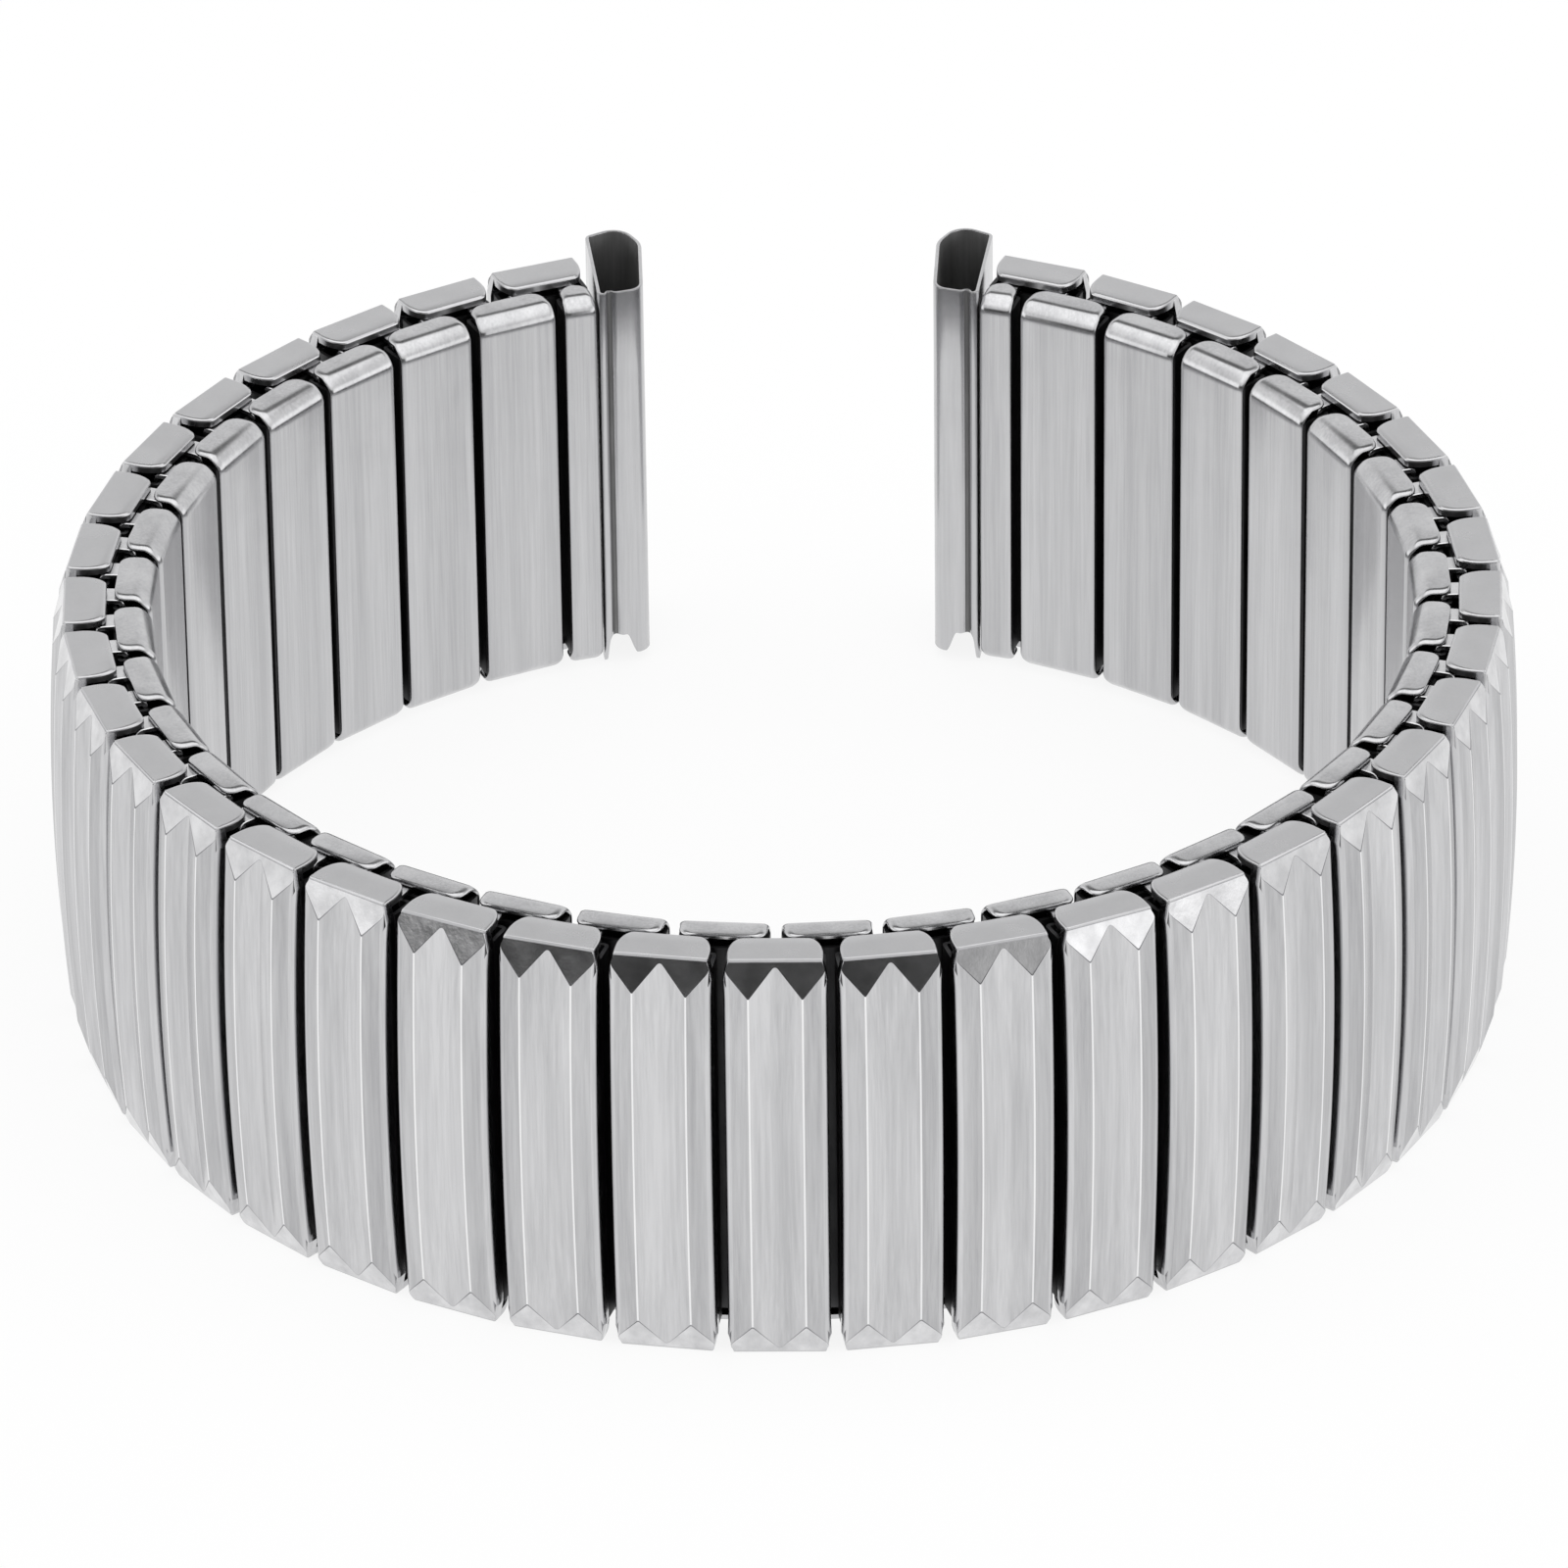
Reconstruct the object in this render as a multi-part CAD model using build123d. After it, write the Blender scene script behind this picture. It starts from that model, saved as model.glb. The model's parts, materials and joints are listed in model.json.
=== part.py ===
"""Expansion watch band, standing on its edge and curled round the wrist.

Two rows of sheet-metal links lie half a pitch apart. Flat ribbon bows, shaped like staples,
reach from each band edge into one link of either row and hold the rows together. A bent leaf
spring in every link presses on the legs of its bows. Each end carries a folded channel for
the spring bar of a watch case.

Every piece is drawn at the front of the curl: X runs along the band, -Y points away from the
wrist and Z runs across the band, from the middle of its width. The piece is then turned to its
place about Z. Heights above a row's own base are called n and count away from the wrist.
"""
import os
from math import atan2, cos, hypot, radians, sin, sqrt, tan

from build123d import *

# Driving dimensions of the whole band, in mm and degrees
band_width = 18.0
curl_radius = 27.20            # underside of the outer row, from the middle of the curl
pitch_angle = 8.78             # turn from one outer link to the next in the stored curl
pairs_per_side = 18            # inner and outer links on each side of the middle link
row_gap = 0.28                 # between the two rows, at the middle of a link
sleeve_wall = 0.16             # sheet of the sleeves

# Outer links
outer_gap = 0.31               # between neighbours, at the underside
outer_depth = 1.70             # end tab, from the row gap to its straight outer edge
outer_sleeve_height = 1.30
outer_tab_thickness = 0.25
outer_tab_chamfer = 0.42
dome_rise = 0.42               # how far the face rises from its ends to its middle
ridge_rise = 0.38              # ridges above the side edges
valley_drop = 0.33             # valley below the ridges
side_draft = 0.20              # how far the side walls lean in by the side edges
ridge_share = 0.55             # place of a ridge on the half width
end_bevel_angle = 18.5
dome_flat_count = 5            # flats along the dome, less than 0.02 mm off the true arc

# Inner links
inner_gap = 0.38               # between neighbours, at the face on the wrist
inner_depth = 1.60
inner_face_sheet = 0.20
inner_tab_step = 0.16          # how far the inner tabs lie below the outer ones
inner_bend_radius = 0.38
bend_flat_count = 3            # flats round each bend
tab_edge_gap = 0.05            # free edge of an inner tab, short of the row gap

# Ribbon bows that join the rows
ribbon_width = 0.40
ribbon_thickness = 0.25
bow_leg_length = 4.6
bow_offset = 1.31              # from the middle of the inner link
leg_clearance = 0.08           # between a leg and the sleeve wall beside the row gap
web_clearance = 0.06           # between a web and the sleeve end or the inner tab

# Leaf springs
leaf_thickness = 0.12
leaf_length = 14.0
leaf_side_clearance = 0.15
leaf_clearance = 0.04          # above the legs and below the roof

# End channels for the spring bars, with heights counted from the wrist face
channel_sheet = 0.22
channel_start = 0.20           # from the middle of the last half pitch, back towards the links
channel_near_length = 1.85     # the wall on the wrist
channel_height = 5.50          # crown of the outer wall, at the end
channel_outer_fall = 0.28      # how much lower the outer wall starts beside the links
channel_outer_lean = 0.80      # how far the wall beside the links leans towards the end
channel_end_lean = 1.20        # how far the end wall leans outwards
channel_heel_radius = 0.40
channel_foot_radius = 0.70
channel_shoulder_radius = 0.36
spring_bar_seat_radius = 0.80
notch_depth = 1.25             # arched cut at the lower band edge, to reach the spring bar
notch_width = 1.75
notch_place = 0.50             # from the start of the wall on the wrist
groove_width = 0.50            # pressed seam along the wall on the wrist
groove_depth = 0.14
groove_place = 0.45            # from the start of the wall on the wrist

# Places worked out from the sizes above
half_width = band_width / 2
half_pitch = pitch_angle / 2
inner_radius = curl_radius - row_gap                 # top of the inner row
face_radius = inner_radius - inner_depth             # inner faces, on the wrist
outer_width = 2 * curl_radius * sin(radians(half_pitch)) - outer_gap
inner_width = 2 * face_radius * sin(radians(half_pitch)) - inner_gap
inner_tab_top = half_width - inner_tab_step
web_top = inner_tab_top - inner_face_sheet - web_clearance
web_bottom = web_top - ribbon_thickness
sleeve_end = web_bottom - web_clearance
leg_height = sleeve_wall + leg_clearance + ribbon_thickness / 2
side_edge_height = outer_depth + dome_rise
ridge_height = side_edge_height + ridge_rise
valley_height = ridge_height - valley_drop
side_lean = side_draft / (side_edge_height - outer_sleeve_height)
dome_radius = (half_width**2 + dome_rise**2) / (2 * dome_rise)
overrun = sleeve_wall                                # how far cutting shapes reach past a face
last_angle = (pairs_per_side + 0.5) * pitch_angle    # middle of the half pitch at each end
channel_crown = channel_height - channel_outer_fall


def block(x_low, x_high, radius_low, radius_high, z_low, z_high):
    """A box at the front of the curl, between two distances from the curl's middle."""
    size = (x_high - x_low, radius_high - radius_low, z_high - z_low)
    middle = ((x_low + x_high) / 2, -(radius_low + radius_high) / 2, (z_low + z_high) / 2)
    return Pos(*middle) * Box(*size)


def across_prism(points, base_radius, z_low, z_high):
    """A solid along Z, from an outline of X and height above the base."""
    outline = Polyline([(x, -(base_radius + n), z_low) for x, n in points], close=True)
    return extrude(make_face(outline), z_high - z_low, dir=(0, 0, 1))


def along_prism(points, base_radius, x_low, x_high):
    """A solid along X, from an outline of Z and height above the base."""
    outline = Polyline([(x_low, -(base_radius + n), z) for z, n in points], close=True)
    return extrude(make_face(outline), x_high - x_low, dir=(1, 0, 0))


def leaf_spring(x_low, x_high, base_radius, leg_top, roof):
    """A bent strip: its crown lies at the roof and its two ends on the legs of the bows."""
    tip = leaf_length / 2
    step = leaf_thickness if roof > leg_top else -leaf_thickness
    outline = [(-tip, leg_top), (0, roof - step), (tip, leg_top),
               (tip, leg_top + step), (0, roof), (-tip, leg_top + step)]
    margin = sleeve_wall + leaf_side_clearance
    return along_prism(outline, base_radius, x_low + margin, x_high - margin)


def bow(x_place, edge):
    """A ribbon staple with its legs in an inner and an outer sleeve; edge is 1 or -1."""
    low = -leg_height - ribbon_thickness / 2
    high = row_gap + leg_height + ribbon_thickness / 2
    tip = web_top - bow_leg_length
    outline = [(web_top, low), (web_top, high), (tip, high), (tip, high - ribbon_thickness),
               (web_bottom, high - ribbon_thickness), (web_bottom, low + ribbon_thickness),
               (tip, low + ribbon_thickness), (tip, low)]
    outline = [(edge * z, n) for z, n in outline]
    half = ribbon_width / 2
    return along_prism(outline, inner_radius, x_place - half, x_place + half)


def domed_bar():
    """A long bar with two ridges and a valley, bent lengthwise into a shallow dome."""
    ridge = ridge_share * outer_width / 2
    edge_drop = (ridge_height - side_edge_height) / (outer_width / 2 - side_draft - ridge)
    outer_edge_height = ridge_height - edge_drop * (outer_width / 2 - ridge)
    foot = outer_sleeve_height - dome_rise - overrun
    section = [(-outer_width / 2, foot), (outer_width / 2, foot),
               (outer_width / 2, outer_edge_height), (ridge, ridge_height), (0, valley_height),
               (-ridge, ridge_height), (-outer_width / 2, outer_edge_height)]
    reach = half_width + overrun
    spine = []
    for i in range(dome_flat_count + 1):
        z = -reach + 2 * reach * i / dome_flat_count
        spine.append((0, dome_radius - curl_radius - sqrt(dome_radius**2 - z**2), z))
    path = Polyline(*spine)
    start = Plane(origin=path @ 0, x_dir=(1, 0, 0), z_dir=path % 0)
    outline = make_face(Polyline([(x, -n) for x, n in section], close=True))
    return sweep(start * outline, path=path, transition=Transition.RIGHT)


def ridged_face():
    """The face of an outer link: the domed bar with leaning sides and bevelled ends."""
    top = ridge_height + overrun
    top_half = outer_width / 2 - side_lean * (top - outer_sleeve_height)
    room = [(-outer_width / 2, outer_sleeve_height), (outer_width / 2, outer_sleeve_height),
            (top_half, top), (-top_half, top)]
    face = domed_bar() & across_prism(room, curl_radius, -half_width, half_width)
    bevel_length = (top - outer_depth) / tan(radians(end_bevel_angle))
    for edge in (1, -1):
        wedge = [(edge * half_width, outer_depth), (edge * half_width, top),
                 (edge * (half_width - bevel_length), top)]
        face -= along_prism(wedge, curl_radius, -outer_width, outer_width)
    return face


def outer_cap():
    """Ridged face with an end tab folded over each band edge."""
    half = outer_width / 2
    corner = outer_tab_chamfer
    tab = [(-half + corner, 0), (half - corner, 0), (half, corner), (half, outer_sleeve_height),
           (-half, outer_sleeve_height), (-half, corner)]
    cap = ridged_face()
    cap += across_prism(tab, curl_radius, half_width - outer_tab_thickness, half_width)
    cap += across_prism(tab, curl_radius, -half_width, -half_width + outer_tab_thickness)
    return cap


def outer_link():
    """Cap, sleeve and leaf spring of one outer link."""
    half = outer_width / 2
    tube = block(-half, half, curl_radius, curl_radius + outer_sleeve_height,
                 -sleeve_end, sleeve_end)
    tube -= block(-half + sleeve_wall, half - sleeve_wall, curl_radius + sleeve_wall,
                  curl_radius + outer_sleeve_height - sleeve_wall, -half_width, half_width)
    leg_top = leg_height + ribbon_thickness / 2 + leaf_clearance
    roof = outer_sleeve_height - sleeve_wall - leaf_clearance
    spring = leaf_spring(-half, half, curl_radius, leg_top, roof)
    return [outer_cap(), tube, spring]


def inner_shell(x_low, x_high):
    """Sleeve of an inner link, whose face sheet is bent round both band edges into tabs."""
    free_edge = inner_depth - tab_edge_gap
    inside = inner_tab_top - inner_face_sheet
    outline = [(inside, inner_face_sheet), (inside, free_edge), (inner_tab_top, free_edge)]
    for i in range(bend_flat_count + 1):
        turn = i / bend_flat_count * radians(90)
        outline.append((inner_tab_top - inner_bend_radius * (1 - cos(turn)),
                        inner_bend_radius * (1 - sin(turn))))
    outline += [(-z, n) for z, n in reversed(outline)]
    sheet = along_prism(outline, face_radius, x_low, x_high)
    walls = block(x_low, x_high, face_radius + inner_face_sheet, inner_radius,
                  -sleeve_end, sleeve_end)
    walls -= block(x_low + sleeve_wall, x_high - sleeve_wall, face_radius,
                   inner_radius - sleeve_wall, -half_width, half_width)
    return sheet + walls


def inner_link(x_low, x_high, bow_places):
    """Shell, leaf spring and bows of one inner link, or of the half link at an end."""
    leg_top = inner_depth - leg_height - ribbon_thickness / 2 - leaf_clearance
    spring = leaf_spring(x_low, x_high, face_radius, leg_top, inner_face_sheet + leaf_clearance)
    bows = [bow(x, edge) for x in bow_places for edge in (1, -1)]
    return [inner_shell(x_low, x_high), spring] + bows


def channel_corners():
    """Sharp corners of the end channel's section, as X and height above the wrist face."""
    start = -channel_start
    return [(start, 0), (start + channel_near_length, 0),
            (start + channel_near_length + channel_end_lean, channel_height),
            (start + channel_outer_lean, channel_crown)]


def spring_bar_place():
    """X and height of the spring bar's seat, in the outer corner of the end channel."""
    start, foot, crown, shoulder = channel_corners()
    to_foot = (foot[0] - crown[0], foot[1] - crown[1])
    to_shoulder = (shoulder[0] - crown[0], shoulder[1] - crown[1])
    turn = atan2(to_shoulder[1], to_shoulder[0]) % (2 * radians(180))
    turn -= atan2(to_foot[1], to_foot[0]) % (2 * radians(180))
    reach = (spring_bar_seat_radius + channel_sheet) / sin(abs(turn) / 2)
    length_foot, length_shoulder = hypot(*to_foot), hypot(*to_shoulder)
    middle = [to_foot[i] / length_foot + to_shoulder[i] / length_shoulder for i in (0, 1)]
    size = hypot(*middle)
    return crown[0] + reach * middle[0] / size, crown[1] + reach * middle[1] / size


def end_channel():
    """Folded channel for the spring bar, open at both band edges, with a notch at the lower."""
    points = [(x, -(face_radius + n), -half_width) for x, n in channel_corners()]
    radii = [channel_heel_radius, channel_foot_radius,
             spring_bar_seat_radius + channel_sheet, channel_shoulder_radius]
    bar = extrude(make_face(FilletPolyline(*points, radius=radii, close=True)), band_width,
                  dir=(0, 0, 1))
    ends = [bar.faces().sort_by(Axis.Z)[0], bar.faces().sort_by(Axis.Z)[-1]]
    tube = offset(bar, -channel_sheet, openings=ends)
    groove_middle = groove_place - channel_start
    groove = [(groove_middle - groove_width / 2, -overrun), (groove_middle, groove_depth),
              (groove_middle + groove_width / 2, -overrun)]
    tube -= across_prism(groove, face_radius, -half_width, half_width)
    notch_radius = (notch_width**2 / 4 + notch_depth**2) / (2 * notch_depth)
    notch = Cylinder(notch_radius, 2 * (channel_sheet + overrun), rotation=(90, 0, 0))
    notch_z = notch_depth - notch_radius - half_width
    return tube - Pos(notch_place - channel_start, -face_radius, notch_z) * notch


def placed(solids, angle, shift):
    """Turn pieces from the front of the curl to their place, with the band on its edge."""
    place = Pos(0, shift, half_width) * Rot(0, 0, angle)
    return [place * solid for solid in solids]


def centring_shift(middle_pieces, end_pieces):
    """How far the band moves in Y so that the curl's box is centred on the origin."""
    front = min(solid.bounding_box().min.Y for solid in middle_pieces)
    back = max(solid.bounding_box().max.Y for solid in placed(end_pieces, last_angle, 0))
    return -(front + back) / 2


def build():
    """The solids of every node, by the node's name."""
    outer = outer_link()
    inner = inner_link(-inner_width / 2, inner_width / 2, (-bow_offset, bow_offset))
    half_link = inner_link(-inner_width / 2, -channel_start, (-bow_offset,))
    channel = [end_channel()]
    shift = centring_shift(outer, channel)
    nodes = {"outer_link_center": placed(outer, 0, shift)}
    for side, sign in (("r", 1), ("l", -1)):
        for k in range(1, pairs_per_side + 1):
            inner_solids = placed(inner, sign * (k - 0.5) * pitch_angle, shift)
            outer_solids = placed(outer, sign * k * pitch_angle, shift)
            if k % 2:
                nodes[f"inner_link_{side}{k:02d}"] = inner_solids
                nodes[f"outer_link_{side}{k:02d}"] = outer_solids
            else:
                nodes[f"link_pair_{side}{k:02d}"] = inner_solids + outer_solids
    for name, solids in (("end_link", half_link), ("end_channel", channel)):
        right = placed(solids, last_angle, shift)
        nodes[name + "_right"] = right
        nodes[name + "_left"] = [mirror(solid, about=Plane.YZ) for solid in right]
    return nodes


os.makedirs("parts", exist_ok=True)
for node, node_solids in build().items():
    export_step(Compound(children=node_solids), os.path.join("parts", node + ".step"))
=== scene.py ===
"""Expansion watch band, curled and standing on its edge, dressed for its portrait.

Every piece is made in millimetres at the front of the curl: x runs along the band, -y points
away from the wrist and z runs across the band from the middle of its width. It is then turned
to its place round the curl. Heights above a row's own base are called n.
"""
import json
from math import atan2, cos, hypot, pi, radians, sin, sqrt

import bmesh
import bpy
from mathutils import Matrix, Vector


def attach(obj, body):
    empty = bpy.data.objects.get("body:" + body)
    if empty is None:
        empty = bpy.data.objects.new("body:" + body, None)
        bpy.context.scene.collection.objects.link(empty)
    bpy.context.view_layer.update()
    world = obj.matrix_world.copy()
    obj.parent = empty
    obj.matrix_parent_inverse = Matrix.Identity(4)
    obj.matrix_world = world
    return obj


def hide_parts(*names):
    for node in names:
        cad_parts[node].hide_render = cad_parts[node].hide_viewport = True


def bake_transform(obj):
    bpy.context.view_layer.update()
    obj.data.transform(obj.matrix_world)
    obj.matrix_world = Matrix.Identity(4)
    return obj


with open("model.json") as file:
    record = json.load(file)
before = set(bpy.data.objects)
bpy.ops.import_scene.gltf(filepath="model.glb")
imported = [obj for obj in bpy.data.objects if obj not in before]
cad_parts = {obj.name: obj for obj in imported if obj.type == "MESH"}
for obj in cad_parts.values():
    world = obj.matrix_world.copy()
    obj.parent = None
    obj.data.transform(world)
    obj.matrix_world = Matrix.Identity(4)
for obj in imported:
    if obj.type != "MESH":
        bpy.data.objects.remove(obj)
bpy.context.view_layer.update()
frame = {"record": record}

MM = 0.001

# Sizes of the band in mm and degrees. The large ones are those of its solids.
band_width = 18.0
half_width = band_width / 2
curl_radius = 27.20
pitch_angle = 8.78
pairs_per_side = 18
row_gap = 0.28
sleeve_wall = 0.16
sleeve_corner, sleeve_inner_corner = 0.20, 0.06
sheet_edge = 0.03              # broken edge of the bent sheets
cap_gap = 0.01                 # between an outer sleeve and its cap
sleeve_sink = 0.04             # how far an inner sleeve reaches into the face sheet
outer_half = 1.927
outer_depth = 1.70
outer_sleeve_height = 1.30
dome_radius = 96.6
inner_depth = 1.60
inner_half = 1.748
inner_face_sheet = 0.20
inner_tab_top = 8.84
inner_bend_length = 1.25
inner_roll = (0.30, 0.15)      # width and drop of the face's rolled sides
leaf_length, leaf_thickness = 14.0, 0.12
leaf_margin = 0.31             # from the side of a link to its leaf spring
leaf_clearance = 0.04
inner_radius = curl_radius - row_gap
face_radius = inner_radius - inner_depth
sleeve_end = 8.27
last_angle = (pairs_per_side + 0.5) * pitch_angle

# The curl's middle, from the mount that the band stands on
edge_rest = next(m for m in frame["record"]["mounts"] if m["name"] == "edge_rest")
curl_shift = edge_rest["pos_m"][1] / MM + curl_radius + outer_sleeve_height / 2


def aim_camera():
    """The photograph's view: a long lens from the front, a little over 30 degrees up."""
    lens = bpy.data.cameras.new("portrait_lens")
    lens.lens = 291.3
    lens.sensor_width = 36.0
    lens.clip_start = 0.01
    lens.clip_end = 20.0
    camera = bpy.data.objects.new("portrait_camera", lens)
    bpy.context.scene.collection.objects.link(camera)
    stand = Vector((7.03, curl_shift - 442.18, 273.47)) * MM
    target = Vector((-0.02, curl_shift - 0.63, 8.91)) * MM
    camera.location = stand
    aim = (target - stand).to_track_quat("-Z", "Y").to_matrix()
    camera.rotation_euler = (aim @ Matrix.Rotation(radians(-0.715), 3, "Z")).to_euler()
    bpy.context.scene.camera = camera


aim_camera()


# Mesh tools

def spot(x, n, z, radius):
    """A point of the band in metres, from mm along, mm above a row's base and mm across."""
    return Vector((x, -(radius + n), z)) * MM


def soft_step(value, low, high):
    """Rises smoothly from 0 at low to 1 at high."""
    t = min(1.0, max(0.0, (value - low) / (high - low)))
    return t * t * (3 - 2 * t)


def loft(bm, loops, cyclic=False, finish=0):
    """Faces through a row of point loops; flat ends, or a ring if cyclic."""
    rows = [[bm.verts.new(p) for p in loop] for loop in loops]
    count = len(rows[0])
    pairs = list(zip(rows, rows[1:] + rows[:1])) if cyclic else list(zip(rows, rows[1:]))
    made = []
    for low, high in pairs:
        for i in range(count):
            j = (i + 1) % count
            made.append(bm.faces.new((low[i], low[j], high[j], high[i])))
    if not cyclic:
        made.append(bm.faces.new(rows[0][::-1]))
        made.append(bm.faces.new(rows[-1]))
    for face in made:
        face.material_index = finish
    return made


def finish_mesh(name, bm, smooth_below, round_edges=0.0):
    """Small rounds on edges sharper than 60 degrees, then smooth shading below an angle."""
    bmesh.ops.recalc_face_normals(bm, faces=bm.faces)
    if round_edges:
        sharp = [e for e in bm.edges
                 if len(e.link_faces) == 2 and e.calc_face_angle() > radians(60)]
        bmesh.ops.bevel(bm, geom=sharp, offset=round_edges * MM, segments=2, profile=0.5,
                        affect="EDGES", clamp_overlap=True)
    for face in bm.faces:
        face.smooth = len(face.verts) <= 4
    mesh = bpy.data.meshes.new(name)
    bm.to_mesh(mesh)
    bm.free()
    mesh.set_sharp_from_angle(angle=radians(smooth_below))
    return mesh


def rounded_corners(points, reaches, steps=4):
    """An open outline with each inner corner rounded over its reach, or left sharp at 0."""
    outline = [points[0]]
    for i in range(1, len(points) - 1):
        here, before, after = (Vector(points[k]) for k in (i, i - 1, i + 1))
        reach = reaches[i - 1]
        if not reach:
            outline.append(points[i])
            continue
        start = here + (before - here).normalized() * reach
        end = here + (after - here).normalized() * reach
        for s in range(steps + 1):
            t = s / steps
            outline.append(tuple(start * (1 - t)**2 + here * 2 * t * (1 - t) + end * t**2))
    outline.append(points[-1])
    return outline


def bent_sheet(bm, path, halves, thickness, radius, x_mid, roll=None):
    """A sheet that follows a path of z and n, with its own half width at each step. Its outer
    side can roll down at both long edges, over a width and by a drop."""
    roll_width, roll_drop = roll or (sheet_edge, sheet_edge)
    turns = [radians(90 * s / 5) for s in range(6)] if roll else [0.0, pi / 2]
    loops = []
    for i, (z, n) in enumerate(path):
        z0, n0 = path[max(i - 1, 0)]
        z1, n1 = path[min(i + 1, len(path) - 1)]
        length = hypot(z1 - z0, n1 - n0)
        nz, nn = (n1 - n0) / length, -(z1 - z0) / length
        if 0 < i < len(path) - 1:
            a = Vector((z - z0, n - n0)).normalized()
            b = Vector((z1 - z, n1 - n)).normalized()
            stretch = 1 / max(0.4, cos(a.angle(b, 0) / 2))
        else:
            stretch = 1
        half, t = halves[i], thickness / 2 * stretch
        left = [(-half + sheet_edge, -t), (-half, -t + sheet_edge)]
        left += [(-half + roll_width * (1 - cos(a)), t - roll_drop * (1 - sin(a))) for a in turns]
        section = left + [(-x, s) for x, s in reversed(left)]
        loops.append([spot(x_mid + x, n + nn * s, z + nz * s, radius) for x, s in section])
    loft(bm, loops)


def sleeve_tube(bm, x_low, x_high, n_low, n_high, radius, z_end, finish=0):
    """A rounded box tube, open at both band edges."""
    def ring(inset, corner, z):
        x0, x1, n0, n1 = x_low + inset, x_high - inset, n_low + inset, n_high - inset
        points = []
        for cx, cn, turn in ((x1 - corner, n1 - corner, 0), (x0 + corner, n1 - corner, 90),
                             (x0 + corner, n0 + corner, 180), (x1 - corner, n0 + corner, 270)):
            for s in range(4):
                a = radians(turn + 30 * s)
                points.append(spot(cx + corner * cos(a), cn + corner * sin(a), z, radius))
        return points
    loft(bm, [ring(0, sleeve_corner, -z_end), ring(0, sleeve_corner, z_end),
              ring(sleeve_wall, sleeve_inner_corner, z_end),
              ring(sleeve_wall, sleeve_inner_corner, -z_end)], cyclic=True, finish=finish)


# Steel finishes, among them painted highlight and painted shade

def group_output(group, name):
    group.interface.new_socket(name=name, in_out="OUTPUT", socket_type="NodeSocketFloat")


def group_input(group, name, value):
    socket = group.interface.new_socket(name=name, in_out="INPUT", socket_type="NodeSocketFloat")
    socket.default_value = value


def link_nodes(tree, *pairs):
    for start, end in pairs:
        tree.links.new(start, end)


def brushed_grain():
    """Brush strokes and broader bands along the band's width, and rubbed patches."""
    group = bpy.data.node_groups.new("brushed_grain", "ShaderNodeTree")
    group_input(group, "Strokes", 5000.0)
    group_input(group, "Stretch", 0.03)
    group_input(group, "Seed", 0.0)
    group_output(group, "Height")
    group_output(group, "Tone")
    group_output(group, "Rub")
    nodes = group.nodes
    inside, outside = nodes.new("NodeGroupInput"), nodes.new("NodeGroupOutput")
    place = nodes.new("ShaderNodeTexCoord")
    lengthwise = nodes.new("ShaderNodeCombineXYZ")
    lengthwise.inputs[0].default_value = 1.0
    lengthwise.inputs[1].default_value = 1.0
    squeezed = nodes.new("ShaderNodeVectorMath")
    squeezed.operation = "MULTIPLY"
    link_nodes(group, (inside.outputs["Stretch"], lengthwise.inputs[2]),
               (place.outputs["Object"], squeezed.inputs[0]),
               (lengthwise.outputs[0], squeezed.inputs[1]))
    strokes, bands, rubs = (nodes.new("ShaderNodeTexNoise") for _ in range(3))
    for noise in (strokes, bands, rubs):
        noise.noise_dimensions = "4D"
    link_nodes(group, (squeezed.outputs[0], strokes.inputs["Vector"]),
               (inside.outputs["Strokes"], strokes.inputs["Scale"]),
               (inside.outputs["Seed"], strokes.inputs["W"]),
               (squeezed.outputs[0], bands.inputs["Vector"]),
               (inside.outputs["Seed"], bands.inputs["W"]),
               (place.outputs["Object"], rubs.inputs["Vector"]),
               (inside.outputs["Seed"], rubs.inputs["W"]))
    strokes.inputs["Detail"].default_value = 4.0
    strokes.inputs["Roughness"].default_value = 0.65
    bands.inputs["Scale"].default_value = 900.0
    bands.inputs["Detail"].default_value = 2.0
    rubs.inputs["Scale"].default_value = 700.0
    rubs.inputs["Detail"].default_value = 5.0
    mixed = nodes.new("ShaderNodeMath")
    mixed.operation = "ADD"
    link_nodes(group, (strokes.outputs["Fac"], mixed.inputs[0]),
               (bands.outputs["Fac"], mixed.inputs[1]))
    halved = nodes.new("ShaderNodeMath")
    halved.operation = "MULTIPLY"
    halved.inputs[1].default_value = 0.5
    link_nodes(group, (mixed.outputs[0], outside.inputs["Height"]),
               (mixed.outputs[0], halved.inputs[0]),
               (halved.outputs[0], outside.inputs["Tone"]),
               (rubs.outputs["Fac"], outside.inputs["Rub"]))
    return group


grain = brushed_grain()


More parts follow.
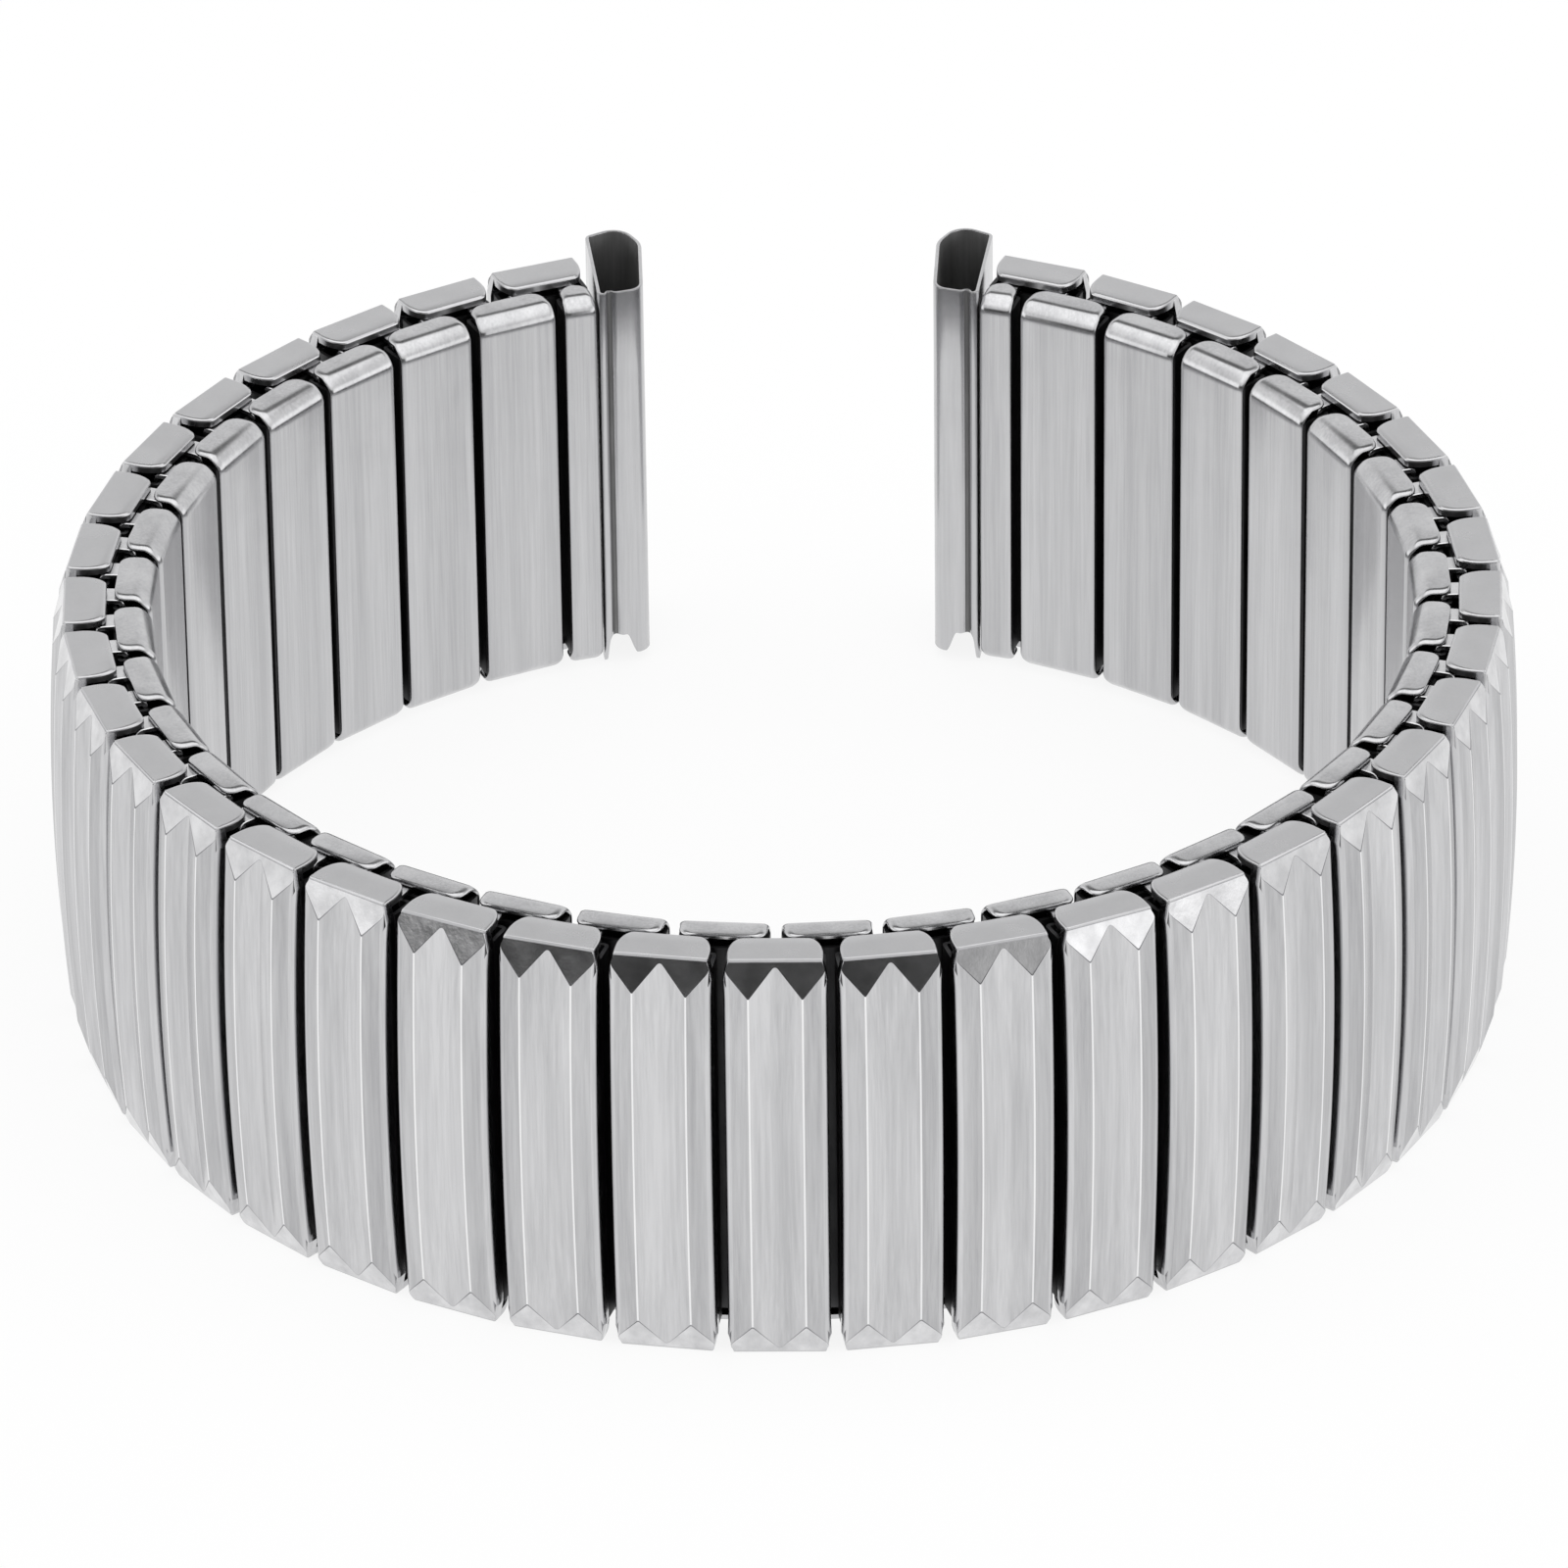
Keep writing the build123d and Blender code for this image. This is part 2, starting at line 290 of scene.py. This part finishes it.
def steel(name, pale, dark, rough, rough_spread, strokes, stretch, depth):
    """Steel between two tones, with a brushed grain that is each piece's own. Its strokes are
    as many to the metre as said, drawn out along the width and as deep as said in mm."""
    material = bpy.data.materials.new(name)
    material.use_nodes = True
    tree = material.node_tree
    nodes = tree.nodes
    shader = nodes["Principled BSDF"]
    shader.inputs["Metallic"].default_value = 1.0
    strokes_node = nodes.new("ShaderNodeGroup")
    strokes_node.node_tree = grain
    strokes_node.inputs["Strokes"].default_value = strokes
    strokes_node.inputs["Stretch"].default_value = stretch
    piece = nodes.new("ShaderNodeObjectInfo")
    seed = nodes.new("ShaderNodeMath")
    seed.operation = "MULTIPLY"
    seed.inputs[1].default_value = 40.0
    link_nodes(tree, (piece.outputs["Random"], seed.inputs[0]),
               (seed.outputs[0], strokes_node.inputs["Seed"]))
    tone = nodes.new("ShaderNodeMapRange")
    tone.inputs["From Min"].default_value = 0.38
    tone.inputs["From Max"].default_value = 0.62
    colours = nodes.new("ShaderNodeMix")
    colours.data_type = "RGBA"
    dark_socket, pale_socket = colours.inputs[6], colours.inputs[7]
    mixed_colour = colours.outputs[2]
    dark_socket.default_value = (*dark, 1.0)
    pale_socket.default_value = (*pale, 1.0)
    link_nodes(tree, (strokes_node.outputs["Tone"], tone.inputs["Value"]),
               (tone.outputs["Result"], colours.inputs["Factor"]),
               (mixed_colour, shader.inputs["Base Color"]))
    roughness = nodes.new("ShaderNodeMapRange")
    roughness.inputs["From Min"].default_value = 0.3
    roughness.inputs["From Max"].default_value = 0.7
    roughness.inputs["To Min"].default_value = rough
    roughness.inputs["To Max"].default_value = rough + rough_spread
    link_nodes(tree, (strokes_node.outputs["Rub"], roughness.inputs["Value"]),
               (roughness.outputs["Result"], shader.inputs["Roughness"]))
    bump = nodes.new("ShaderNodeBump")
    bump.inputs["Strength"].default_value = 1.0
    bump.inputs["Distance"].default_value = depth * MM
    link_nodes(tree, (strokes_node.outputs["Height"], bump.inputs["Height"]),
               (bump.outputs["Normal"], shader.inputs["Normal"]))
    return material


face_steel = steel("ridged_face_steel", (0.66, 0.66, 0.67), (0.50, 0.50, 0.51), 0.14, 0.08,
                   6000.0, 0.03, 0.0012)
# Darker copy of the face steel for the flanks beside each ridge: painted shade, so that the
# flanks stand apart from the faces.
flank_shade_steel = steel("ridge_flank_painted_shade", (0.58, 0.58, 0.59), (0.43, 0.43, 0.44), 0.14, 0.08,
                    6000.0, 0.03, 0.0012)
bevel_steel = steel("bevelled_end_steel", (0.74, 0.74, 0.75), (0.56, 0.56, 0.57), 0.08, 0.06,
                    1500.0, 0.8, 0.005)
# Near-black steel for the first bevel row next to each face end: painted shade along the fold.
fold_shade_steel = steel("fold_line_painted_shade", (0.26, 0.26, 0.27), (0.16, 0.16, 0.17), 0.20, 0.10,
                   3000.0, 0.3, 0.0012)
# Pale steel for a narrow strip on each ridge: painted highlight.
ridge_highlight_steel = steel("ridge_painted_highlight", (0.90, 0.90, 0.90), (0.84, 0.84, 0.85), 0.16, 0.08,
                     6000.0, 0.03, 0.0008)
tab_steel = steel("folded_tab_steel", (0.58, 0.58, 0.59), (0.55, 0.55, 0.56), 0.26, 0.05,
                  9000.0, 0.3, 0.0001)
inner_steel = steel("wrist_side_steel", (0.60, 0.60, 0.61), (0.48, 0.48, 0.49), 0.18, 0.08,
                    9000.0, 0.02, 0.0012)
# Near-black steel for the sleeves, which show only in the gaps between links: painted shade.
sleeve_painted_shade = steel("sleeve_painted_shade", (0.10, 0.10, 0.103), (0.06, 0.06, 0.062), 0.40, 0.15,
                     6000.0, 0.05, 0.002)
spring_steel = steel("leaf_spring_steel", (0.14, 0.135, 0.13), (0.09, 0.088, 0.085), 0.30, 0.10,
                     6000.0, 0.05, 0.001)
ribbon_steel = steel("bow_ribbon_steel", (0.72, 0.72, 0.73), (0.64, 0.64, 0.65), 0.20, 0.10,
                     9000.0, 0.2, 0.0006)
# Dark steel for the inside of the end channel and a strip along its pressed seam: painted shade.
channel_shade_steel = steel("channel_inside_painted_shade", (0.26, 0.26, 0.26), (0.20, 0.20, 0.20), 0.55, 0.15,
                     6000.0, 0.05, 0.002)
channel_steel = steel("end_channel_steel", (0.60, 0.60, 0.61), (0.52, 0.52, 0.53), 0.18, 0.10,
                      8000.0, 0.03, 0.0012)


def new_piece(name, mesh, finishes, angle):
    """A shown piece in its place, angle degrees round the curl."""
    if not mesh.materials:
        for finish in finishes:
            mesh.materials.append(finish)
    piece = bpy.data.objects.new(name, mesh)
    bpy.context.scene.collection.objects.link(piece)
    piece.matrix_world = (Matrix.Translation(Vector((0, curl_shift, half_width)) * MM)
                          @ Matrix.Rotation(radians(angle), 4, "Z"))
    return piece


# Outer links

valley, ridge = (0.0, 2.17), (1.046, 2.50)    # x and n at the middle of the dome
waist_half, side_edge = 2.00, 2.20
valley_reach, ridge_reach, side_reach = 0.14, 0.05, 0.24
shoulder_spread = 0.045
shoulder_run = (7.60, 8.50)
tab_half = 1.85
tab_run = (8.55, 8.90)         # where the sides draw in to the tab
tab_corner, tab_corner_rise = 0.62, 1.20
tab_rim = ((0.0, 0.35), (0.0, 0.10), (0.013, 0.05), (0.05, 0.013), (0.10, 0.0))
# Half width of the painted highlight on each ridge, and width of the painted shade on the flanks
# beyond it.
highlight_half = 0.035
flank_width = 0.74
bevel_slope = 0.335
face_end = 8.90

# Places of the cap's finishes, with a painted highlight on the ridges and painted shade on the
# flanks and folds
TAB, RIDGE_HIGHLIGHT, BEVEL, FOLD_SHADE, SHADED_FLANK = range(1, 6)
cap_finishes = [face_steel, tab_steel, ridge_highlight_steel, bevel_steel, fold_shade_steel, flank_shade_steel]


def face_section():
    """Half of the face's section: valley, ridge, rounded side edge and side wall."""
    return rounded_corners(
        [(-0.3, valley[1] + 0.3 * (ridge[1] - valley[1]) / ridge[0]), valley, ridge,
         (waist_half, side_edge), (waist_half, outer_sleeve_height)],
        [valley_reach, ridge_reach, side_reach], steps=8)


def outer_cap_mesh():
    """The ridged, domed face with bevelled ends, and the tab folded over each band edge."""
    half = [p for p in face_section()[1:] if p[0] >= -1e-6]
    line = [(-x, n) for x, n in reversed(half) if x > 1e-6] + half
    base = curl_radius

    def height(n0, z):
        """Height of a line at z: the dome, cut off by the bevel."""
        if n0 <= outer_sleeve_height:
            return n0
        return min(n0 - z * z / (2 * dome_radius),
                   outer_depth + bevel_slope * (half_width - abs(z)))

    def bevel_start(n0):
        """Where a line meets the bevel, from the middle of the band."""
        low, high = 5.0, face_end - 0.03
        for _ in range(40):
            z = (low + high) / 2
            if n0 - z * z / (2 * dome_radius) > outer_depth + bevel_slope * (half_width - z):
                high = z
            else:
                low = z
        return high

    starts = [bevel_start(n) for _, n in line]
    face_steps, bevel_steps = 24, 4
    rows = [("face", -1 + 2 * i / face_steps) for i in range(face_steps + 1)]
    shares = [("bevel", s) for s in (0.05, 0.35, 0.70, 1.0)]
    order = ([(-1, *r) for r in reversed(shares)] + [(1, *r) for r in rows]
             + [(1, *r) for r in shares])
    loops = []
    for sign, part, s in order:
        loop = []
        for (x, n0), start in zip(line, starts):
            z = start * s if part == "face" else sign * (start + (face_end - start) * s)
            outside = max(0.0, (abs(x) - ridge[0]) / (waist_half - ridge[0]))
            spread = (shoulder_spread * soft_step(abs(z), *shoulder_run)
                      - (waist_half + shoulder_spread - tab_half) * soft_step(abs(z), *tab_run))
            if n0 <= outer_sleeve_height:
                spread = min(spread, 0.0)
            x_there = x + (1 if x > 0 else -1) * outside * spread
            loop.append(spot(x_there, height(n0, z), z, base))
        loops.append(loop)
    bm = bmesh.new()
    for i, face in enumerate(loft(bm, loops)):
        step = i // len(line)
        # The bevel rows next to the face get painted shade along the fold.
        if step in (bevel_steps - 1, bevel_steps + face_steps):
            face.material_index = FOLD_SHADE
        elif not bevel_steps <= step < bevel_steps + face_steps:
            face.material_index = BEVEL
        else:
            past_ridge = abs(face.calc_center_median().x) / MM - ridge[0]
            # The strip on each ridge gets a painted highlight.
            if abs(past_ridge) < highlight_half:
                face.material_index = RIDGE_HIGHLIGHT
            # Faces on the flanks beyond each ridge get painted shade.
            elif highlight_half <= past_ridge < flank_width:
                face.material_index = SHADED_FLANK

    # Tabs: straight outer edge, rounded flanks and nearly half-round inner corners
    outline = []
    for s in range(13):
        a = radians(90 * s / 12)
        outline.append((tab_half - tab_corner + tab_corner * sin(a),
                        tab_corner_rise - tab_corner_rise * cos(a)))
    outline += [(tab_half, 1.40), (tab_half, outer_depth - 0.10),
                (tab_half - 0.03, outer_depth - 0.03), (tab_half - 0.10, outer_depth)]
    outline = [(-x, n) for x, n in reversed(outline)] + outline
    count = len(outline)
    inward = []
    for i in range(count):
        x0, n0 = outline[i - 1]
        x1, n1 = outline[(i + 1) % count]
        length = hypot(x1 - x0, n1 - n0)
        inward.append((-(n1 - n0) / length, (x1 - x0) / length))
    for sign in (1, -1):
        loops = []
        for inset, drop in tab_rim:
            z = sign * (half_width - drop)
            loops.append([spot(x + ix * inset * max(0.6, 1 + inn),
                               n + inn * inset * max(0.6, 1 + inn), z, base)
                          for (x, n), (ix, inn) in zip(outline, inward)])
        loft(bm, loops, finish=TAB)
    return finish_mesh("outer_cap", bm, 10)


def outer_sleeve_mesh():
    bm = bmesh.new()
    sleeve_tube(bm, -outer_half, outer_half, 0, outer_sleeve_height - cap_gap, curl_radius,
                sleeve_end)
    return finish_mesh("outer_sleeve", bm, 35)


def leaf_path(leg_top, roof):
    """A bent strip, its crown at the roof and its ends on the bows' legs."""
    side = 1 if roof > leg_top else -1
    low, high = leg_top + side * leaf_thickness / 2, roof - side * leaf_thickness / 2
    path = []
    for i in range(17):
        z = -leaf_length / 2 + leaf_length * i / 16
        share = 1 - abs(z) / (leaf_length / 2)
        path.append((z, low + (high - low) * share * share * (3 - 2 * share)))
    return path


def leaf_mesh(name, leg_top, roof, radius, x_low, x_high):
    bm = bmesh.new()
    path = leaf_path(leg_top, roof)
    half = (x_high - x_low) / 2
    bent_sheet(bm, path, [half] * len(path), leaf_thickness, radius, (x_low + x_high) / 2)
    return finish_mesh(name, bm, 30)


# Inner links

tab_narrowing = 0.05
corner_start, inner_corner = 1.05, 0.50     # height and radius of an inner tab's corners


def inner_sheet_path():
    """Middle of the wrist face's sheet, bent up round both band edges into tabs. The bend is
    slow where it starts and ends, and flatter in its middle."""
    t = inner_face_sheet / 2
    steps, length = 18, inner_bend_length
    bend = [(0.0, 0.0)]
    for i in range(steps):
        s = (i + 0.5) / steps
        turn = pi / 2 * (s - 0.80 * sin(4 * pi * (s - 0.5)) / (4 * pi))
        z, n = bend[-1]
        bend.append((z + cos(turn) * length / steps, n + sin(turn) * length / steps))
    top = inner_tab_top - t
    side = [(top - bend[-1][0] + z, t + n) for z, n in bend]
    side += [(top, n) for n in (1.05, 1.20, 1.32, 1.42, 1.49, 1.53, 1.55)]
    flat = [(z, t) for z in (0.0, 3.0, 6.0)]
    right = flat + side
    return [(-z, n) for z, n in reversed(right) if z > 0] + right


def inner_half_at(n, half):
    """Half width of the sheet: full on the face, a little narrower and rounded at the tabs."""
    narrow = tab_narrowing * min(1.0, max(0.0, (n - 0.4) / 0.3))
    corner = 0.0
    if n > corner_start:
        s = (n - corner_start) / inner_corner
        corner = inner_corner * (1 - sqrt(max(0.0, 1 - s * s)))
    return half - narrow - corner


def inner_shell_mesh(name, x_low, x_high):
    bm = bmesh.new()
    path = inner_sheet_path()
    half, middle = (x_high - x_low) / 2, (x_low + x_high) / 2
    halves = [inner_half_at(n, half) for _, n in path]
    bent_sheet(bm, path, halves, inner_face_sheet, face_radius, middle, roll=inner_roll)
    # The inner sleeve takes the second finish, the sleeves' painted shade.
    sleeve_tube(bm, x_low, x_high, inner_face_sheet - sleeve_sink, inner_depth, face_radius,
                sleeve_end, finish=1)
    return finish_mesh(name, bm, 35)


# Bows

bow_offset = 1.02
ribbon_half = 0.475
ribbon_thickness = 0.22
leg_height = 0.365
ribbon_bend = 0.22             # how far each bend reaches from its corner
web_top, leg_tip = 8.58, 3.98  # across the band


def bow_mesh(name, x_place, half):
    """Ribbon staples at both band edges, with their legs in an inner and an outer sleeve."""
    low, high = -leg_height, row_gap + leg_height
    web = web_top - ribbon_thickness / 2
    bm = bmesh.new()
    for sign in (1, -1):
        path = rounded_corners([(sign * leg_tip, low), (sign * web, low), (sign * web, high),
                                (sign * leg_tip, high)], [ribbon_bend, ribbon_bend])
        bent_sheet(bm, path, [half] * len(path), ribbon_thickness, inner_radius, x_place)
    return finish_mesh(name, bm, 30)


# End channels

channel_sheet = 0.15
channel_start = 0.34
channel_corners = ((-channel_start, 0), (1.65, 0), (2.72, 3.90), (2.30, 5.62), (0.62, 5.22))
channel_radii = (0.30, 0.70, 1.50, 0.90, 0.36)
groove_middle, groove_width, groove_depth = 0.22, 0.62, 0.20
seam_half = 0.11
half_link_gap = 0.03           # between the channel and the half link
half_leaf_margin = 0.22
end_bow_offset, end_ribbon_half = 1.19, 0.36
lip_height, notch_depth = 0.45, 1.40
wall_top, notch_top = 0.3, 1.6              # heights between which the notch fades out
notch_runs = (-0.36, 0.02, 0.66, 1.15)      # foot, top, top and foot of the notch's flanks


def channel_outline():
    """Outline of the folded sheet as (x, n, outward x, outward n), corners rounded."""
    corners = [Vector(corner) for corner in channel_corners]
    outline = []
    for i, corner in enumerate(corners):
        before = (corner - corners[i - 1]).normalized()
        after = (corners[(i + 1) % len(corners)] - corner).normalized()
        turn = before.angle(after)
        radius = channel_radii[i]
        reach = radius * sin(turn / 2) / cos(turn / 2)
        tangent = corner - before * reach
        centre = tangent + Vector((-before.y, before.x)) * radius
        first = atan2(tangent.y - centre.y, tangent.x - centre.x)
        for s in range(9):
            a = first + turn * s / 8
            outline.append((centre.x + radius * cos(a), centre.y + radius * sin(a),
                            cos(a), sin(a)))
        if i == 0:
            near = outline[-1][0]
            next_turn = (corners[2] - corners[1]).normalized().angle(Vector((1, 0)))
            stop = corners[1].x - channel_radii[1] * sin(next_turn / 2) / cos(next_turn / 2)
            for s in range(1, 40):
                outline.append((near + (stop - near) * s / 40, 0.0, 0.0, -1.0))
    return outline


def lower_end(x, n):
    """Where a line of the channel stops at the lower band edge: at the notch or the lip."""
    foot_a, top_a, top_b, foot_b = notch_runs
    cut = notch_depth * soft_step(x, foot_a, top_a)
    cut += (lip_height - notch_depth) * soft_step(x, top_b, foot_b)
    return half_width - cut * soft_step(n, notch_top, wall_top)


def pressed(x, n):
    """How far the seam is pressed in along the wall on the wrist."""
    if n > wall_top or abs(x - groove_middle) >= groove_width / 2:
        return 0.0
    return groove_depth * cos(pi * (x - groove_middle) / groove_width)**2


def channel_mesh(name):
    """The hollow channel, with a pressed seam, and a notch and a lip at the lower band edge."""
    outline = channel_outline()

    def ring(inset, share):
        points = []
        for x, n, ox, on in outline:
            z = share * (lower_end(x, n) if share < 0 else half_width)
            points.append(spot(x - ox * inset, n - on * inset + pressed(x, n), z, face_radius))
        return points

    shares = [-1, -0.7, -0.3, 0.2, 0.6, 1]
    outer = [ring(0, s) for s in shares]
    inner = [ring(channel_sheet, s) for s in reversed(shares)]
    bm = bmesh.new()
    faces = loft(bm, outer + inner, cyclic=True)
    # The channel's inner side gets painted shade.
    for face in faces[len(outer) * len(outline):-len(outline)]:
        face.material_index = 1
    # A strip along the pressed seam on the wrist wall gets painted shade.
    for face in faces:
        place = face.calc_center_median() / MM
        if abs(place.x - groove_middle) < seam_half and -place.y - face_radius < 1:
            face.material_index = 1
    return finish_mesh(name, bm, 35, round_edges=0.035)


# The band

cap_mesh = outer_cap_mesh()
outer_tube_mesh = outer_sleeve_mesh()
leg_top = leg_height + ribbon_thickness / 2 + leaf_clearance
outer_roof = outer_sleeve_height - sleeve_wall - leaf_clearance
outer_leaf_mesh = leaf_mesh("outer_leaf", leg_top, outer_roof, curl_radius,
                            -outer_half + leaf_margin, outer_half - leaf_margin)
shell_mesh = inner_shell_mesh("inner_shell", -inner_half, inner_half)
inner_roof = inner_face_sheet + leaf_clearance
inner_leaf_mesh = leaf_mesh("inner_leaf", inner_depth - leg_top, inner_roof, face_radius,
                            -inner_half + leaf_margin, inner_half - leaf_margin)


def place_outer_link(tag, angle, body, node):
    """Cap, sleeve and leaf spring of an outer link."""
    cap = new_piece("outer_cap_" + tag, cap_mesh, cap_finishes, angle)
    # The sleeve is near-black: painted shade in the gaps between links.
    tube = new_piece("outer_sleeve_" + tag, outer_tube_mesh, [sleeve_painted_shade], angle)
    leaf = new_piece("outer_leaf_" + tag, outer_leaf_mesh, [spring_steel], angle)
    for piece in (cap, tube, leaf):
        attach(piece, body)
        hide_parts(node)


def place_inner_link(tag, angle, body, node, shell, leaf_spring):
    """Shell and leaf spring of an inner link."""
    # The inner sleeve is near-black: painted shade in the gaps between links.
    sheet = new_piece("inner_shell_" + tag, shell, [inner_steel, sleeve_painted_shade], angle)
    leaf = new_piece("inner_leaf_" + tag, leaf_spring, [spring_steel], angle)
    for piece in (sheet, leaf):
        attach(piece, body)
        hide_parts(node)


def place_bow(name, angle, x_place, inner_body, outer_body, half=ribbon_half):
    """A pair of bows: kept with its link when one link holds both legs, else fixed in place with
    its turn baked into the mesh.
    """
    bow = new_piece(name, bow_mesh(name, x_place, half), [ribbon_steel], angle)
    if inner_body == outer_body:
        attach(bow, inner_body)
        return
    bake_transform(bow)


def place_side(side, sign, word):
    """All links, bows and the end channel of one side."""
    outer_body = "middle_link"
    for k in range(1, pairs_per_side + 1):
        tag = f"{side}{k:02d}"
        inner_angle, outer_angle = sign * (k - 0.5) * pitch_angle, sign * k * pitch_angle
        if k % 2:
            inner_body, next_body = "inner_" + tag, "outer_" + tag
            inner_node, outer_node = "inner_link_" + tag, "outer_link_" + tag
        else:
            inner_body = next_body = "pair_" + tag
            inner_node = outer_node = "link_pair_" + tag
        place_inner_link(tag, inner_angle, inner_body, inner_node, shell_mesh, inner_leaf_mesh)
        place_bow("bow_near_" + tag, inner_angle, -sign * bow_offset, inner_body, outer_body)
        place_bow("bow_far_" + tag, inner_angle, sign * bow_offset, inner_body, next_body)
        place_outer_link(tag, outer_angle, next_body, outer_node)
        outer_body = next_body
    end_body = "end_" + word
    angle = sign * last_angle
    x_low, x_high = sorted((-sign * inner_half, -sign * (channel_start + half_link_gap)))
    shell = inner_shell_mesh("half_shell_" + word, x_low, x_high)
    leaf_spring = leaf_mesh("half_leaf_" + word, inner_depth - leg_top, inner_roof, face_radius,
                            x_low + half_leaf_margin, x_high - half_leaf_margin)
    place_inner_link("end_" + word, angle, end_body, "end_link_" + word, shell, leaf_spring)
    place_bow("bow_end_" + word, angle, -sign * end_bow_offset, end_body, outer_body,
              half=end_ribbon_half)
    folded = channel_mesh("end_channel_" + word)
    if sign < 0:
        folded.transform(Matrix.Scale(-1, 4, (1, 0, 0)))
        folded.flip_normals()
    # The channel's second finish is the painted shade of its inside and seam.
    channel = new_piece("folded_channel_" + word, folded, [channel_steel, channel_shade_steel], angle)
    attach(channel, end_body)
    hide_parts("end_channel_" + word)


place_outer_link("center", 0.0, "middle_link", "outer_link_center")
place_side("r", 1, "right")
place_side("l", -1, "left")


# Floor and light

def studio_floor():
    """A plain white floor that keeps the band's shadow. It looks as white in the steel's
    mirror image as it does to the viewer."""
    bm = bmesh.new()
    floor_radius, corners = 3.0, 96
    turns = [2 * pi * i / corners for i in range(corners)]
    rim = [bm.verts.new((floor_radius * cos(a), floor_radius * sin(a), 0.0)) for a in turns]
    bm.faces.new(rim)
    mesh = bpy.data.meshes.new("studio_floor")
    bm.to_mesh(mesh)
    bm.free()
    floor = bpy.data.objects.new("studio_floor", mesh)
    bpy.context.scene.collection.objects.link(floor)
    material = bpy.data.materials.new("studio_floor_white")
    material.use_nodes = True
    tree = material.node_tree
    nodes = tree.nodes
    shader = nodes["Principled BSDF"]
    shader.inputs["Roughness"].default_value = 0.9
    shader.inputs["Specular IOR Level"].default_value = 0.0
    place = nodes.new("ShaderNodeTexCoord")
    specks = nodes.new("ShaderNodeTexNoise")
    specks.inputs["Scale"].default_value = 60.0
    tone = nodes.new("ShaderNodeMapRange")
    tone.inputs["To Min"].default_value = 0.90
    tone.inputs["To Max"].default_value = 0.93
    paths = nodes.new("ShaderNodeLightPath")
    seen, mirrored = nodes.new("ShaderNodeMath"), nodes.new("ShaderNodeMath")
    seen.operation = mirrored.operation = "MAXIMUM"
    share = nodes.new("ShaderNodeMath")
    share.operation = "MULTIPLY"
    share.inputs[1].default_value = 0.88
    glow = nodes.new("ShaderNodeEmission")
    glow.inputs["Color"].default_value = (1, 1, 1, 1)
    glow.inputs["Strength"].default_value = 1.0
    mixed = nodes.new("ShaderNodeMixShader")
    link_nodes(tree, (place.outputs["Object"], specks.inputs["Vector"]),
               (specks.outputs["Fac"], tone.inputs["Value"]),
               (tone.outputs["Result"], shader.inputs["Base Color"]),
               (paths.outputs["Is Camera Ray"], seen.inputs[0]),
               (paths.outputs["Is Transmission Ray"], seen.inputs[1]),
               (seen.outputs[0], mirrored.inputs[0]),
               (paths.outputs["Is Glossy Ray"], mirrored.inputs[1]),
               (mirrored.outputs[0], share.inputs[0]), (share.outputs[0], mixed.inputs[0]),
               (shader.outputs[0], mixed.inputs[1]), (glow.outputs[0], mixed.inputs[2]),
               (mixed.outputs[0], nodes["Material Output"].inputs["Surface"]))
    mesh.materials.append(material)


def studio_world():
    """Soft light all round: a bright ceiling and bright low sides, with a dark band high at
    the back and a dark patch low in front."""
    world = bpy.data.worlds.new("studio_room")
    bpy.context.scene.world = world
    world.use_nodes = True
    tree = world.node_tree
    nodes = tree.nodes
    glow = nodes["Background"]
    place = nodes.new("ShaderNodeTexCoord")
    parts = nodes.new("ShaderNodeSeparateXYZ")
    link_nodes(tree, (place.outputs["Generated"], parts.inputs[0]))
    x, y, z = parts.outputs

    def step(value, low, high):
        """A soft mask that rises from 0 at low to 1 at high."""
        node = nodes.new("ShaderNodeMapRange")
        node.interpolation_type = "SMOOTHSTEP"
        node.inputs["From Min"].default_value = low
        node.inputs["From Max"].default_value = high
        link_nodes(tree, (value, node.inputs["Value"]))
        return node.outputs["Result"]

    def times(a, b):
        node = nodes.new("ShaderNodeMath")
        node.operation = "MULTIPLY"
        link_nodes(tree, (a, node.inputs[0]), (b, node.inputs[1]))
        return node.outputs[0]

    def painted(under, mask, tone):
        """A tone laid over another one through a mask."""
        node = nodes.new("ShaderNodeMix")
        node.data_type = "FLOAT"
        for value, socket in ((under, node.inputs["A"]), (tone, node.inputs["B"])):
            if hasattr(value, "is_linked"):
                link_nodes(tree, (value, socket))
            else:
                socket.default_value = value
        link_nodes(tree, (mask, node.inputs["Factor"]))
        return node.outputs["Result"]

    low_sides = times(times(step(z, -0.03, 0.03), step(z, 0.50, 0.36)), step(y, 0.45, 0.25))
    wall = painted(0.95, low_sides, 1.5)
    back_dark = times(step(y, 0.15, 0.35), times(step(z, 0.58, 0.68), step(z, 0.90, 0.84)))
    wall = painted(wall, back_dark, 0.10)
    wall = painted(wall, times(step(z, 0.62, 0.80), step(y, 0.50, 0.36)), 1.5)
    middle = times(step(x, -1.0, -0.74), step(x, 0.82, 0.38))
    low_front = times(step(z, -0.03, 0.04), step(z, 0.50, 0.34))
    front_dark = times(step(y, -0.40, -0.62), times(middle, low_front))
    wall = painted(wall, front_dark, 0.06)
    link_nodes(tree, (wall, glow.inputs["Color"]))
    glow.inputs["Strength"].default_value = 1.0


studio_floor()
studio_world()
bpy.context.scene.view_settings.view_transform = "Standard"
